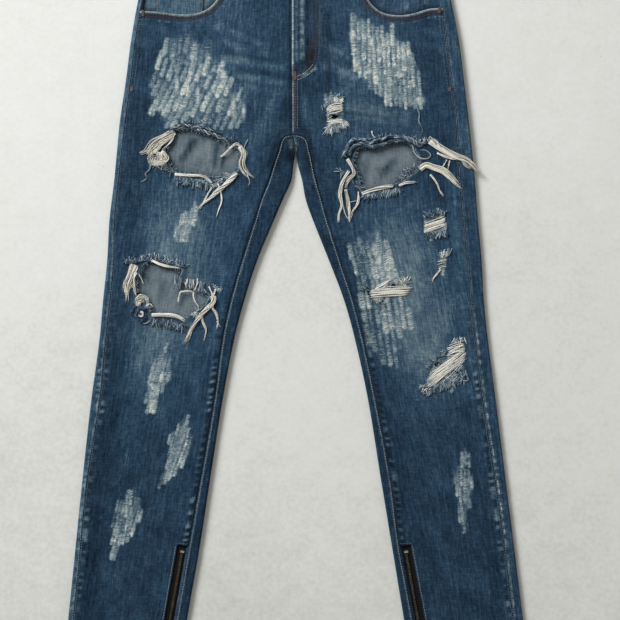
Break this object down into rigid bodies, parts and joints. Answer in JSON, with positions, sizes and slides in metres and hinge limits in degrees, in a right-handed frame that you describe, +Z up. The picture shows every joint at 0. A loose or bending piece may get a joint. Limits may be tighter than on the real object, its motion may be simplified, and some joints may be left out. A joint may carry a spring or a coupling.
{
  "type": "ripped jeans laid flat",
  "caption": "Skinny five-pocket jeans laid flat, front up, with frayed rips through the thighs and knee and a zip at each inner ankle.",
  "frame": {"origin": "middle of the footprint, on the surface that the jeans lie on", "axes": "+X to the wearer's left (the viewer's right), +Y from the hems to the waist, +Z up from the surface"},
  "size_m": [0.638, 1.0361, 0.0136],
  "materials": {
    "denim_front": "washed blue denim twill, faded on the thighs and knees, worn through to pale weft",
    "denim_back": "dark washed blue denim twill",
    "denim_band": "washed blue denim twill, double thickness",
    "yarn": "loose undyed weft yarn",
    "zip_tape": "black woven zip tape",
    "dark_metal": "antiqued dark brass"
  },
  "bodies": {
    "jeans": {"front_right": "denim_front", "front_left": "denim_front", "back_right": "denim_back", "back_left": "denim_back", "yoke_right": "denim_back", "yoke_left": "denim_back", "back_pocket_right": "denim_back", "back_pocket_left": "denim_back", "waistband": "denim_band", "belt_loop_front_right": "denim_band", "belt_loop_front_left": "denim_band", "belt_loop_back_right": "denim_band", "belt_loop_back_centre": "denim_band", "belt_loop_back_left": "denim_band", "pocket_facing_right": "denim_front", "pocket_facing_left": "denim_front", "coin_pocket": "denim_front", "button": "dark_metal", "zip_tape_right": "zip_tape", "zip_tape_left": "zip_tape", "zip_chain_right": "dark_metal", "zip_chain_left": "dark_metal", "zip_stop_right": "dark_metal", "zip_stop_left": "dark_metal", "zip_slider_right": "dark_metal", "zip_slider_left": "dark_metal", "fray_thigh_right": "yarn", "fray_knee_right": "yarn", "fray_thigh_left": "yarn", "fray_knee_left": "yarn", "fray_shin_left": "yarn", "fray_side_left": "yarn"},
    "tab_right": {"pull_tab_right": "dark_metal"},
    "tab_left": {"pull_tab_left": "dark_metal"}
  },
  "joints": [
    {"name": "tab_right_swing", "type": "hinge", "parent": "jeans", "child": "tab_right", "pos_m": [-0.18677, -0.504, 0.009], "axis": [0.9849, -0.1732, 0], "range_deg": [0, 165]},
    {"name": "tab_left_swing", "type": "hinge", "parent": "jeans", "child": "tab_left", "pos_m": [0.18384, -0.504, 0.009], "axis": [0.9844, 0.1759, 0], "range_deg": [0, 165]}
  ]
}
